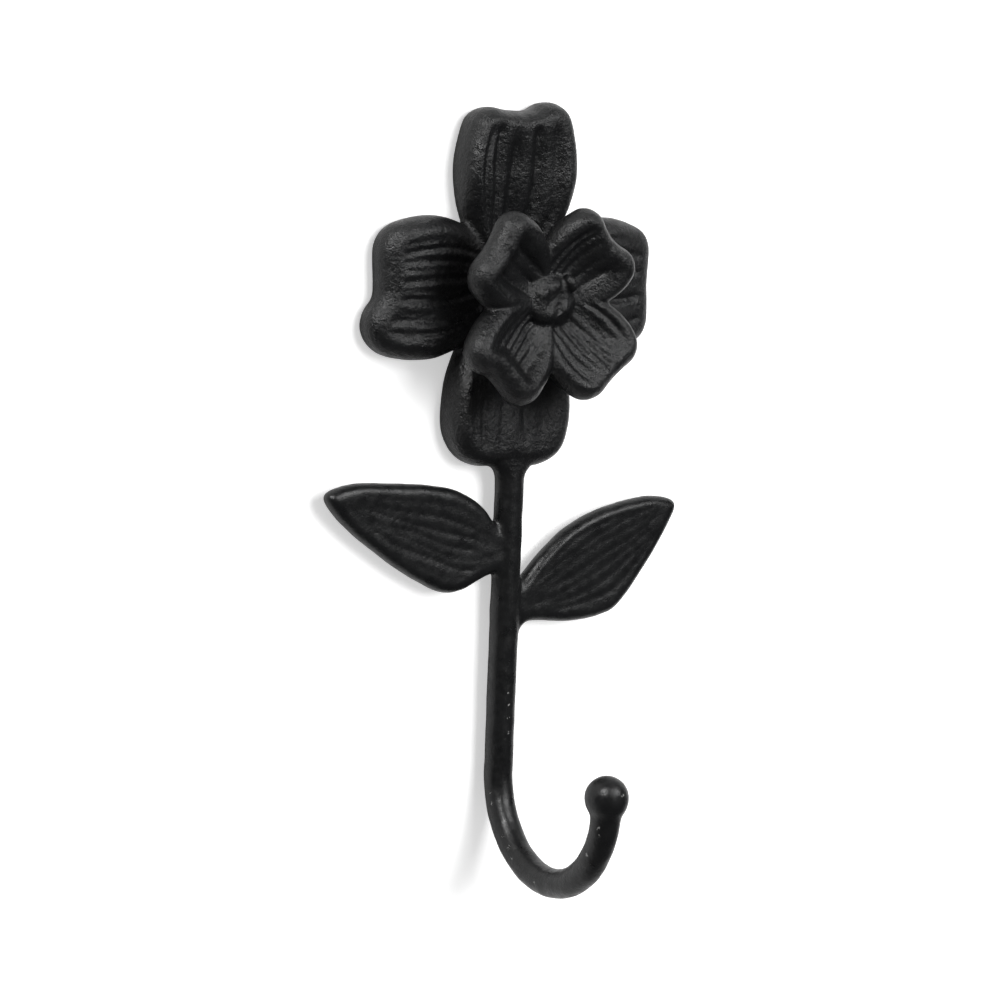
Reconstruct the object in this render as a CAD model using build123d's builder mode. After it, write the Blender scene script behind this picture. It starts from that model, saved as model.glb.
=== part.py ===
"""Cast-iron wall hook in the shape of a flower on its stem.

A large flower lies flat against the wall. A smaller flower stands in front of it on a short post and serves
as a peg. A stem with two leaves drops from the lowest petal and curls forward into a hook that ends in a
ball. The whole hook is one casting, hung on a screw by a keyhole in its back.

Millimetres. The wall is the plane Y = 0, the hook stands out of it towards -Y, and +Z is up. The origin is
the centre of the large flower, on the wall.
"""

import os
from dataclasses import dataclass, replace
from math import degrees, sqrt

from build123d import *

# Stem, hook and ball
STEM_DIAMETER = 7.2
STEM_TOP_DEPTH = 5.6        # wall to the stem's axis, where the stem leaves the flower
STEM_LOW_DEPTH = 4.6        # wall to the stem's axis, where the hook starts
STEM_LAP = 5.0              # by which the stem reaches into the lowest petal
HOOK_CENTRE_HEIGHT = -117.3
HOOK_RADIUS = 23.0          # to the axis of the rod
HOOK_SWEEP = 184.0          # degrees, from the stem round to the ball
BALL_DIAMETER = 10.6
BALL_NECK = 1.6             # rounding between the rod and the ball
FLARE_ROUND = 5.0           # hollow corners where the stem widens into the lowest petal
FLARE_LAP = 2.0             # by which they reach into it
FLARE_THICKNESS = 5.2

# Slabs that the petals and leaves are cut from
LARGE_HUB_RADIUS = 10.0
CROTCH_ROUND = 2.0          # rounding between neighbouring petals
LARGE_THICKNESS = 10.0
SMALL_THICKNESS = 7.4
LEAF_THICKNESS = 5.2
DISH_CLEARANCE = 0.5        # by which the tool for a dish stands proud of the face

# Post that carries the small flower, and the button at the small flower's centre
POST_START = 5.0            # distance from the wall
POST_FOOT_RADIUS = 9.0      # at the large flower
POST_WAIST_RADIUS = 4.8
POST_WAIST_DEPTH = 9.0      # wall to the place where the foot has narrowed to the waist
SMALL_FLOWER_DEPTH = 12.9   # wall to the back of the small flower's centre
SMALL_FLOWER_HEIGHT = -1.5
SMALL_FLOWER_CUP = 17.0     # degrees that its petals lean forward
BUTTON_RADIUS = 5.2
BUTTON_HEIGHT = 10.6        # above the back of the small flower
BUTTON_BEVEL = 1.4
BUTTON_DIMPLE = 1.0
BUD_RADIUS = 2.2            # small bud between the button and the upper right petal
BUD_TOP = 1.2               # radius of its top
BUD_HEIGHT = 3.0
BUD_REACH = 6.8             # of the bud, from the button's centre
BUD_TURN = 28.0             # degrees up from level, to the right

# Keyhole in the back, for the head and shank of a wall screw
KEYHOLE_HEIGHT = -5.0       # centre of the round entry
KEYHOLE_ENTRY_DIAMETER = 9.5
KEYHOLE_SLOT_WIDTH = 5.0
KEYHOLE_TRAVEL = 7.5        # up from the entry to the place where the screw holds
KEYHOLE_LIP = 2.2           # iron left behind the screw's head
KEYHOLE_DEPTH = 5.4


@dataclass(frozen=True)
class Rim:
    """The edge of a petal or leaf: sides that lean in from the back, and a broad bevel at the front."""

    draft: float            # degrees that the sides lean in
    width: float            # of the bevel, along the face
    drop: float             # of the bevel, down the side


@dataclass(frozen=True)
class Dish:
    """The hollow face of a petal or leaf, with the veins along it."""

    depth: float
    foot_width: float
    tip_width: float
    start: float            # of the floor, along the petal
    margin: float           # from the end of the dish to the tip of the petal
    foot_wall: float        # length of the slope that leads down to the floor
    tip_wall: float         # length of the slope that leads up from it
    veins: int
    vein_pitch: float       # between veins, at the tip end of the floor
    vein_width: float       # at the foot end
    vein_depth: float       # at the foot end
    vein_lift: float        # of the groove's bottom above the floor, at the tip end


@dataclass(frozen=True)
class Petal:
    """One petal, which points up before it is turned into its place."""

    length: float           # flower centre to the lobes of the tip
    width: float
    start: float            # distance of the middle of the round foot from the flower centre
    notch: float            # depth of the notch between the two lobes of the tip
    skew: float             # how much further the right lobe reaches than the left one
    turn: float             # degrees from upright, clockwise as seen from the front
    foot_share: float       # radius of the foot, as a share of the width
    lobe_share: float       # distance between the middles of the lobes
    round_share: float      # radius of the lobes


@dataclass(frozen=True)
class Leaf:
    """One leaf, which points up before it is turned into its place on the stem."""

    length: float
    right: float            # widest reach to the right of the middle line
    left: float             # widest reach to the left of it
    widest: float           # distance of the widest place from the stem's axis
    foot: float             # width where the leaf enters the stem
    tip_radius: float
    height: float           # of the leaf's foot on the stem
    lean: float             # degrees from upright, positive to the right


LARGE_RIM = Rim(draft=9.0, width=3.8, drop=3.4)
LARGE_DISH = Dish(
    depth=3.6, foot_width=15.0, tip_width=23.0, start=5.0, margin=5.0, foot_wall=3.0, tip_wall=7.0,
    veins=4, vein_pitch=5.0, vein_width=2.2, vein_depth=0.9, vein_lift=0.2,
)
TOP_PETAL = Petal(
    length=43.0, width=31.6, start=6.0, notch=1.4, skew=0.8, turn=0.0,
    foot_share=0.19, lobe_share=0.5, round_share=0.2,
)
RIGHT_PETAL = replace(TOP_PETAL, length=38.6, width=33.0, notch=1.2, skew=0.0, turn=90.0)
LOW_PETAL = replace(TOP_PETAL, width=33.0, notch=0.6, skew=0.0, turn=182.5)
LEFT_PETAL = replace(TOP_PETAL, length=39.0, width=34.4, notch=2.6, skew=-4.4, turn=268.6)
LARGE_PETALS = (TOP_PETAL, RIGHT_PETAL, LOW_PETAL, LEFT_PETAL)
STEM_TOP_HEIGHT = STEM_LAP - LOW_PETAL.length
FLARE_TOP = FLARE_LAP - LOW_PETAL.length

SMALL_RIM = Rim(draft=12.0, width=2.8, drop=2.6)
SMALL_DISH = Dish(
    depth=2.8, foot_width=9.0, tip_width=17.0, start=3.0, margin=3.6, foot_wall=0.0, tip_wall=5.0,
    veins=3, vein_pitch=4.2, vein_width=1.6, vein_depth=0.7, vein_lift=0.2,
)
UPPER_RIGHT_PETAL = Petal(
    length=24.2, width=24.0, start=4.4, notch=2.2, skew=0.0, turn=45.0,
    foot_share=0.19, lobe_share=0.57, round_share=0.19,
)
LOWER_RIGHT_PETAL = replace(UPPER_RIGHT_PETAL, length=27.6, notch=1.0, turn=135.0)
LOWER_LEFT_PETAL = replace(UPPER_RIGHT_PETAL, length=28.0, turn=225.0)
UPPER_LEFT_PETAL = replace(UPPER_RIGHT_PETAL, length=24.5, turn=315.0)
SMALL_PETALS = (UPPER_RIGHT_PETAL, LOWER_RIGHT_PETAL, LOWER_LEFT_PETAL, UPPER_LEFT_PETAL)

LEAF_RIM = Rim(draft=8.0, width=2.0, drop=1.6)
LEAF_DISH = Dish(
    depth=1.4, foot_width=16.0, tip_width=9.0, start=12.0, margin=5.0, foot_wall=5.0, tip_wall=8.0,
    veins=3, vein_pitch=2.6, vein_width=1.8, vein_depth=0.7, vein_lift=0.2,
)
LEFT_LEAF = Leaf(
    length=53.0, right=11.4, left=12.6, widest=16.0, foot=8.0, tip_radius=3.0,
    height=-65.0, lean=-74.5,
)
RIGHT_LEAF = Leaf(
    length=55.0, right=13.6, left=9.4, widest=25.0, foot=8.0, tip_radius=3.0,
    height=-78.3, lean=63.0,
)


def dish_tools(dish: Dish, face: float, length: float) -> list[Part]:
    """What is cut from a face, that far in front of the wall, to sink a dish with its veins.

    The floor of the dish is a cone, whose lowest line is level with the face and whose axis stands clear of
    it. A steeper cone leads down to it from the foot and another up from it to the tip. Each vein is a
    straight V-shaped groove along the cone, which runs out towards the tip.
    """
    floor = dish.depth - face
    end = length - dish.margin - dish.tip_wall
    foot_radius = (dish.foot_width**2 / 4 + dish.depth**2) / (2 * dish.depth)
    tip_radius = (dish.tip_width**2 / 4 + dish.depth**2) / (2 * dish.depth)
    axis = Axis((0, floor - foot_radius, dish.start), (0, foot_radius - tip_radius, end - dish.start))
    foot = Vector(0, -face - DISH_CLEARANCE, dish.start - dish.foot_wall)
    tip = Vector(0, -face - DISH_CLEARANCE, end + dish.tip_wall)
    along = axis.direction
    ends = [axis.position + along * (point - axis.position).dot(along) for point in (foot, tip)]
    with BuildPart() as bowl:
        with BuildSketch(Plane.YZ):
            with BuildLine():
                corners = [ends[0], foot, Vector(0, floor, dish.start), Vector(0, floor, end), tip, ends[1]]
                Polyline([(corner.Y, corner.Z) for corner in corners], close=True)
            make_face()
        revolve(axis=axis)
    sunk = Vector(0, floor + dish.vein_depth, dish.start)
    clear = Vector(0, floor - dish.vein_lift, end)
    with BuildPart() as vein:
        with BuildSketch(Plane(origin=sunk, x_dir=(1, 0, 0), z_dir=clear - sunk)):
            with BuildLine():
                top = -2 * dish.vein_depth
                Polyline((0, 0), (-dish.vein_width, top), (dish.vein_width, top), close=True)
            make_face()
        extrude(amount=(clear - sunk).length)
    hub = Location(Plane(origin=axis.position, z_dir=axis.direction))
    pitch = degrees(dish.vein_pitch / tip_radius)
    with BuildPart() as veins:
        for number in range(dish.veins):
            turn = Location((0, 0, 0), (0, 0, (number - (dish.veins - 1) / 2) * pitch))
            with Locations(hub * turn * hub.inverse()):
                add(vein.part)
    return [bowl.part, veins.part]


def petal_outline(size: Petal) -> Sketch:
    """The outline of a petal that points up, as arcs that run into each other without a corner.

    A round foot is followed on each side by a long flank, the lobe of the tip and half of the notch.
    """
    foot = Vector(0, size.start)
    foot_radius = size.foot_share * size.width
    lobe_span = size.lobe_share * size.width
    lobe_radius = size.round_share * size.width
    out = (size.width - lobe_span) / 2 - lobe_radius
    narrow = size.width / 2 - foot_radius
    with BuildSketch() as outline:
        with BuildLine():
            ends = []
            for side in (1, -1):
                reach = size.length + side * size.skew / 2
                notch = reach - size.length + size.notch
                lobe = Vector(side * lobe_span / 2, reach - lobe_radius)
                notch_radius = (lobe_span**2 / 4 + notch**2) / (2 * notch) - lobe_radius
                valley = Vector(0, size.length - size.notch + notch_radius)
                rise = lobe.Y - size.start
                spread = rise**2 + out * (lobe_radius - foot_radius - lobe_span / 2)
                widest = rise * (1 - sqrt(1 - (1 - out / narrow) * spread / rise**2)) / (1 - out / narrow)
                flank_radius = (widest**2 / narrow + size.width / 2 + foot_radius) / 2
                flank = Vector(side * (size.width / 2 - flank_radius), size.start + widest)
                heel = foot + (foot - flank).normalized() * foot_radius
                shoulder = lobe + (lobe - flank).normalized() * lobe_radius
                lip = lobe + (valley - lobe).normalized() * lobe_radius
                RadiusArc(heel, shoulder, -side * flank_radius)
                RadiusArc(shoulder, lip, -side * lobe_radius)
                RadiusArc(lip, (0, size.length - size.notch), side * notch_radius)
                ends.append(heel)
            ThreePointArc(ends[0], (0, size.start - foot_radius), ends[1])
        make_face()
    return outline.sketch


def leaf_outline(size: Leaf) -> Sketch:
    """The outline of a leaf that points up: two arcs on each side and a blunt round tip."""
    tip = Vector(0, size.length - size.tip_radius)
    up = tip.Y - size.widest
    with BuildSketch() as outline:
        with BuildLine():
            shoulders = []
            for side, reach in ((1, size.right), (-1, size.left)):
                narrow = reach - size.foot / 2
                low_radius = (narrow**2 + size.widest**2) / (2 * narrow)
                high_radius = (reach**2 + up**2 - size.tip_radius**2) / (2 * (reach - size.tip_radius))
                flank = Vector(side * (reach - high_radius), size.widest)
                shoulder = tip + (tip - flank).normalized() * size.tip_radius
                RadiusArc((side * size.foot / 2, 0), (side * reach, size.widest), -side * low_radius)
                RadiusArc((side * reach, size.widest), shoulder, -side * high_radius)
                shoulders.append(shoulder)
            ThreePointArc(shoulders[0], (0, size.length), shoulders[1])
            Line((-size.foot / 2, 0), (size.foot / 2, 0))
        make_face()
    return outline.sketch


def slab(outline: Sketch, thickness: float, rim: Rim) -> Part:
    """A slab of that outline, standing out of the wall, with the sides and bevel of a rim."""
    with BuildPart() as body:
        with BuildSketch(Plane.XZ):
            add(outline)
        extrude(amount=thickness, taper=rim.draft)
        front = body.faces().filter_by(Axis.Y).sort_by(Axis.Y)[0]
        chamfer(front.outer_wire().edges(), length=rim.width, length2=rim.drop, reference=front)
    return body.part


def large_flower() -> Part:
    """Four petals in one slab, each with its own dish."""
    with BuildSketch() as outline:
        Circle(LARGE_HUB_RADIUS)
        for size in LARGE_PETALS:
            add(petal_outline(size), rotation=-size.turn)
        crotches = outline.vertices().sort_by_distance((0, 0))[: len(LARGE_PETALS)]
        fillet(crotches, radius=CROTCH_ROUND)
    with BuildPart() as body:
        add(slab(outline.sketch, LARGE_THICKNESS, LARGE_RIM))
        for size in LARGE_PETALS:
            for tool in dish_tools(LARGE_DISH, LARGE_THICKNESS, size.length):
                add(tool, rotation=(0, size.turn, 0), mode=Mode.SUBTRACT)
    return body.part


def small_petal(size: Petal) -> Part:
    """A petal of the small flower, before it leans forward."""
    with BuildPart() as body:
        add(slab(petal_outline(size), SMALL_THICKNESS, SMALL_RIM))
        for tool in dish_tools(SMALL_DISH, SMALL_THICKNESS, size.length):
            add(tool, mode=Mode.SUBTRACT)
    return body.part


def leaf(size: Leaf) -> Part:
    """A leaf with a shallow dish and veins along it."""
    with BuildPart() as body:
        add(slab(leaf_outline(size), LEAF_THICKNESS, LEAF_RIM))
        for tool in dish_tools(LEAF_DISH, LEAF_THICKNESS, size.length):
            add(tool, mode=Mode.SUBTRACT)
    return body.part


def spindle() -> Part:
    """The post between the flowers, which ends in the button at the small flower's centre."""
    button_top = SMALL_FLOWER_DEPTH + BUTTON_HEIGHT
    with BuildPart() as body:
        with BuildSketch(Plane.YZ):
            with BuildLine():
                Polyline(
                    (-POST_START, 0),
                    (-POST_START, POST_FOOT_RADIUS),
                    (-POST_WAIST_DEPTH, POST_WAIST_RADIUS),
                    (BUTTON_BEVEL - button_top, BUTTON_RADIUS),
                    (-button_top, BUTTON_RADIUS - BUTTON_BEVEL),
                    (BUTTON_DIMPLE - button_top, 0),
                    close=True,
                )
            make_face()
        revolve(axis=Axis.Y)
        with Locations(Location((0, BUD_HEIGHT / 2 - button_top, 0), (90, 0, 0))):
            with PolarLocations(BUD_REACH, 1, start_angle=BUD_TURN):
                Cone(BUD_RADIUS, BUD_TOP, BUD_HEIGHT)
    return body.part


def rod() -> Part:
    """The stem, which curls forward into the hook and ends in a ball."""
    with BuildPart() as body:
        with BuildLine(Plane.YZ) as path:
            stem = Line((-STEM_TOP_DEPTH, STEM_TOP_HEIGHT), (-STEM_LOW_DEPTH, HOOK_CENTRE_HEIGHT))
            JernArc(start=stem @ 1, tangent=stem % 1, radius=HOOK_RADIUS, arc_size=-HOOK_SWEEP)
        with BuildSketch(Plane(origin=path.line @ 0, z_dir=path.line % 0)):
            Circle(STEM_DIAMETER / 2)
        sweep(path=path.line)
        with Locations(path.line @ 1):
            Sphere(BALL_DIAMETER / 2)
        fillet(body.edges().filter_by(GeomType.BSPLINE), radius=BALL_NECK)
    return body.part


def stem_depth(height: float) -> float:
    """Distance from the wall to the stem's axis at a height."""
    along = (height - STEM_TOP_HEIGHT) / (HOOK_CENTRE_HEIGHT - STEM_TOP_HEIGHT)
    return STEM_TOP_DEPTH + (STEM_LOW_DEPTH - STEM_TOP_DEPTH) * along


os.makedirs("parts", exist_ok=True)
with BuildPart() as flower_hook:
    # Large flower against the wall
    add(large_flower())

    # Post and small flower
    with Locations((0, 0, SMALL_FLOWER_HEIGHT)):
        add(spindle())
    small_centre = Location((0, -SMALL_FLOWER_DEPTH, SMALL_FLOWER_HEIGHT))
    cup = Location((0, 0, 0), (SMALL_FLOWER_CUP, 0, 0))
    for size in SMALL_PETALS:
        with Locations(small_centre * Location((0, 0, 0), (0, size.turn, 0)) * cup):
            add(small_petal(size))

    # Stem, hook and ball, and the flare from the stem into the lowest petal
    add(rod())
    with BuildSketch(Plane.XZ.offset(stem_depth(FLARE_TOP))):
        with BuildLine():
            inner = STEM_DIAMETER / 2
            outer = inner + FLARE_ROUND
            bottom = FLARE_TOP - FLARE_ROUND
            for side in (-1, 1):
                RadiusArc((side * inner, bottom), (side * outer, FLARE_TOP), side * FLARE_ROUND)
                Line((side * outer, FLARE_TOP), (side * outer, STEM_TOP_HEIGHT))
            Line((-inner, bottom), (inner, bottom))
            Line((-outer, STEM_TOP_HEIGHT), (outer, STEM_TOP_HEIGHT))
        make_face()
    extrude(amount=FLARE_THICKNESS / 2, both=True)

    # Leaves, whose middle is level with the stem's axis
    for size in (LEFT_LEAF, RIGHT_LEAF):
        depth = stem_depth(size.height) - LEAF_THICKNESS / 2
        with Locations(Location((0, -depth, size.height), (0, size.lean, 0))):
            add(leaf(size))

    # Keyhole: a round entry and a narrow slot through the lip, and room for the screw's head behind it
    with BuildSketch(Plane.XZ):
        with Locations((0, KEYHOLE_HEIGHT)):
            Circle(KEYHOLE_ENTRY_DIAMETER / 2)
        with Locations((0, KEYHOLE_HEIGHT + KEYHOLE_TRAVEL / 2)):
            SlotCenterToCenter(KEYHOLE_TRAVEL, KEYHOLE_SLOT_WIDTH, rotation=90)
    extrude(amount=KEYHOLE_LIP, mode=Mode.SUBTRACT)
    with BuildSketch(Plane.XZ.offset(KEYHOLE_LIP)):
        with Locations((0, KEYHOLE_HEIGHT + KEYHOLE_TRAVEL / 2)):
            SlotCenterToCenter(KEYHOLE_TRAVEL, KEYHOLE_ENTRY_DIAMETER, rotation=90)
    extrude(amount=KEYHOLE_DEPTH - KEYHOLE_LIP, mode=Mode.SUBTRACT)

flower_hook.part.label = "flower_hook"
export_step(flower_hook.part, "parts/flower_hook.step")
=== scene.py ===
"""Looks of a cast-iron wall hook: two flowers, a stem with two leaves, and a hook with a ball end.

The casting is worked out as closed surfaces in millimetres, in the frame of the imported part: the wall is the
plane Y = 0, the hook stands out towards -Y and +Z is up. The surfaces are melted into two skins, which stand
for the CAD node, and are finished in black paint.
"""

import logging
from dataclasses import dataclass, field, replace
from enum import Enum
from math import cos, pi, radians, sin, sqrt

import bpy
import numpy as np
from mathutils import Matrix, Vector


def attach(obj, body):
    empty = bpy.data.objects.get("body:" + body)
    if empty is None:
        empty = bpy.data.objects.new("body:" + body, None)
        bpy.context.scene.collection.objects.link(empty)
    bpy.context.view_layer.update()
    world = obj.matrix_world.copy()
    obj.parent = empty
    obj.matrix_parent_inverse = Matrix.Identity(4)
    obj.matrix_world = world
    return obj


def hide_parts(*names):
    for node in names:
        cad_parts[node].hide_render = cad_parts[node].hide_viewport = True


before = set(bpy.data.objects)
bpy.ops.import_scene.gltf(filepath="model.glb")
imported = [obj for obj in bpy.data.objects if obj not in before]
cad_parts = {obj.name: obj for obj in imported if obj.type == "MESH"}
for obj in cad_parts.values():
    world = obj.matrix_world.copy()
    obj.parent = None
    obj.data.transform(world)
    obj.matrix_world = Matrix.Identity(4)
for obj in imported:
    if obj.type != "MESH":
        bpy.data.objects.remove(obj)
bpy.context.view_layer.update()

MM = 0.001
NODE = "flower_hook"
Array = np.ndarray
Object, Mesh, Socket = bpy.types.Object, bpy.types.Mesh, bpy.types.NodeSocket
log = logging.getLogger("flower_hook")


class Side(Enum):
    """The two sides of a blade, as factors of its lateral coordinate."""

    RIGHT = 1
    LEFT = -1


def shown(name: str, data: bpy.types.ID) -> Object:
    """Makes an object of the scene.

    Args:
        name: the object's name.
        data: its mesh, lamp or camera.

    Returns:
        The object, at the origin.
    """
    piece = bpy.data.objects.new(name, data)
    bpy.context.scene.collection.objects.link(piece)
    return piece


def discard(piece: Object) -> None:
    """Removes an object and its mesh.

    Args:
        piece: the object.
    """
    mesh = piece.data
    bpy.data.objects.remove(piece)
    bpy.data.meshes.remove(mesh)


@dataclass
class Shell:
    """A closed surface as whole arrays, in millimetres."""

    points: Array
    quads: Array
    fans: Array

    def placed(self, place: Array) -> "Shell":
        """Returns the shell moved by a 4 x 4 matrix, in millimetres."""
        return Shell(self.points @ place[:3, :3].T + place[:3, 3], self.quads, self.fans)

    def raised(self, name: str) -> Object:
        """Makes the shell an object of the scene, in metres.

        Args:
            name: the object's name.

        Returns:
            The object.
        """
        mesh = bpy.data.meshes.new(name)
        mesh.from_pydata((self.points * MM).tolist(), [], self.quads.tolist() + self.fans.tolist())
        return shown(name, mesh)

    def triangles(self) -> Array:
        """Returns all faces as triangles."""
        return np.vstack([self.quads[:, [0, 1, 2]], self.quads[:, [0, 2, 3]], self.fans])


def smoothstep(value: Array, low: float, high: float) -> Array:
    """Eases from 0 at low to 1 at high: t * t * (3 - 2 t) of the clipped share t."""
    share = np.clip((value - low) / (high - low), 0.0, 1.0)
    return share * share * (3.0 - 2.0 * share)


def quarter(share: Array, power: float) -> Array:
    """A rounded quarter edge, from 0 upright to 1 level: the superellipse (1 - (1 - t)^p)^(1/p)."""
    return (1.0 - (1.0 - np.clip(share, 0.0, 1.0)) ** power) ** (1.0 / power)


def peak(value: Array, middle: Array, half: Array) -> Array:
    """A V turned upside down: 1 at the middle, falling in straight lines to 0 at half a width away."""
    return np.clip(1.0 - np.abs(value - middle) / half, 0.0, None)


def turned(about_y: float = 0.0, about_x: float = 0.0, shift: tuple = (0.0, 0.0, 0.0)) -> Array:
    """A place as a matrix: a turn about X, then one about Y, in degrees, then the shift in millimetres."""
    place = Matrix.Translation(shift) @ Matrix.Rotation(radians(about_y), 4, "Y")
    return np.array(place @ Matrix.Rotation(radians(about_x), 4, "X"))


def closed_grid(rings: Array, first: Array, last: Array) -> Shell:
    """Closes a two-parameter grid with a pole at each end, facing outwards.

    Args:
        rings: points by ring and by place round the ring, shaped (rings, places, 3).
        first: the pole before the first ring.
        last: the pole after the last ring.

    Returns:
        The closed shell.
    """
    count, places = rings.shape[:2]
    index = np.arange(count * places).reshape(count, places)
    onward = np.roll(index, -1, axis=1)
    quads = np.stack([index[:-1], onward[:-1], onward[1:], index[1:]], axis=-1).reshape(-1, 4)
    start = np.full(places, count * places)
    fans = np.vstack([
        np.stack([start, onward[0], index[0]], axis=-1),
        np.stack([start + 1, index[-1], onward[-1]], axis=-1),
    ])
    shell = Shell(np.vstack([rings.reshape(-1, 3), first, last]), quads, fans)
    corners = shell.points[shell.triangles()]
    volume = np.einsum("ij,ij->", corners[:, 0], np.cross(corners[:, 1], corners[:, 2]))
    if volume < 0.0:
        shell = Shell(shell.points, shell.quads[:, ::-1], shell.fans[:, ::-1])
    return shell


def arc(centre: Array, start: Array, end: Array, count: int) -> Array:
    """Points on the short arc from start to end, without the end.

    Args:
        centre: middle of the arc's circle.
        start: first point.
        end: point that the arc stops before.
        count: number of points.

    Returns:
        The points, shaped (count, 2).
    """
    radius = np.linalg.norm(start - centre)
    from_angle = np.arctan2(*(start - centre)[::-1])
    sweep = (np.arctan2(*(end - centre)[::-1]) - from_angle + pi) % (2.0 * pi) - pi
    angle = from_angle + sweep * np.arange(count) / count
    return centre + radius * np.stack([np.cos(angle), np.sin(angle)], axis=-1)


def curve(knots: Array, count: int) -> Array:
    """A smooth curve through knots: cubics whose slope at a knot is half the chord across its neighbours.

    Args:
        knots: points to pass through, shaped (knots, 2).
        count: number of points on each stretch.

    Returns:
        The points, with the last knot, shaped (points, 2).
    """
    ends = np.vstack([2.0 * knots[0] - knots[1], knots, 2.0 * knots[-1] - knots[-2]])[:, None]
    before, start, stop, after = ends[:-3], ends[1:-2], ends[2:-1], ends[3:]
    share = (np.arange(count) / count)[None, :, None]
    bend = 2.0 * before - 5.0 * start + 4.0 * stop - after
    twist = 3.0 * (start - stop) + after - before
    points = start + 0.5 * share * (stop - before + share * (bend + share * twist))
    return np.vstack([points.reshape(-1, 2), knots[-1:]])


def round_angle(places: int) -> Array:
    """Returns even steps round a full turn, in radians."""
    return 2.0 * pi * np.arange(places) / places


@dataclass(frozen=True)
class VeinHabit:
    """How the veins of a blade differ. Pairs, apart from rim, are the limits of a random draw."""

    sway: float = 0.3  # to each side, in millimetres
    sway_run: tuple = (3.0, 6.0)  # millimetres to a radian of the sway
    sway_phase: tuple = (0.0, 6.0)
    end: tuple = (0.86, 1.0)  # shares of the blade's length
    start: tuple = (0.05, 0.2)
    fade_in: float = 5.0  # millimetres
    fade_out: float = 6.0
    width: tuple = (0.75, 1.25)  # shares of the relief's own values
    depth: tuple = (0.55, 1.15)
    power: float = 1.5  # hollows the flanks of the V, where 1 leaves them straight
    rim: tuple = (0.7, 1.3)  # shares of the rim's width where a vein sets in and is full


VEINS = VeinHabit()
RAGGED_WAVES = np.arange(4, 14)  # numbers of waves round an outline
RAGGED_HEIGHTS = (0.3, 1.0)  # limits of a random draw
RAGGED_SEED = 100  # added to the blade's own
DISH_START = 0.8  # share of the rim's width where the dish sets in
FILL_SHARE = 0.5  # share of the blade's length over which the dish fills up at the tip
DROOP_RUN = (-16.0, -2.0)  # where the crest sinks, from the tip
CREASE_RUN = (-9.0, -3.0)  # where the crease grows deep, from the tip
CREASE_HALF = 1.6  # half the width of the crease
ROUND = 2.0  # power of a round quarter edge
# Points on the arcs of a petal, on each stretch of a leaf, and on the hollow and each leg of a web
FOOT_POINTS, FLANK_POINTS, LOBE_POINTS, NOTCH_POINTS = 24, 80, 40, 24
LEAF_POINTS, HOLLOW_POINTS, LEG_POINTS = 16, 40, 20
# Where the grid spreads from, as shares of a petal's length, a leaf's tip and a web's reach
PETAL_MIDDLE, LEAF_MIDDLE, WEB_MIDDLE = 0.56, 0.42, 0.2
LEAF_OPEN = 1.0  # height of a leaf's foot, which has no rim


@dataclass(frozen=True)
class Relief:
    """The section of a petal or leaf, from its back to the floor of its dish."""

    thickness: float  # back to the crest of the rim
    edge: float  # height of the outline above the back
    rim: float  # outline to crest
    power: float  # squareness of the flank
    back: float  # width of the rounding at the back
    dish: float  # crest to floor
    slope: float  # width of the dish's wall
    foot: float  # how far the crest sinks at the foot
    foot_start: float  # where the crest is lowest, along the blade
    foot_end: float  # where it reaches its full height
    vein_depth: float
    vein_width: float  # half the width of a groove
    droop: float = 0.0  # how far the crest sinks at the tip
    tip_fill: float = 0.0  # share of the dish that is filled at the tip
    crease: float = 0.0  # depth of the crease that runs in from the notch
    ragged: float = 0.0  # unevenness of the outline, as a share of its reach


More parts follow.
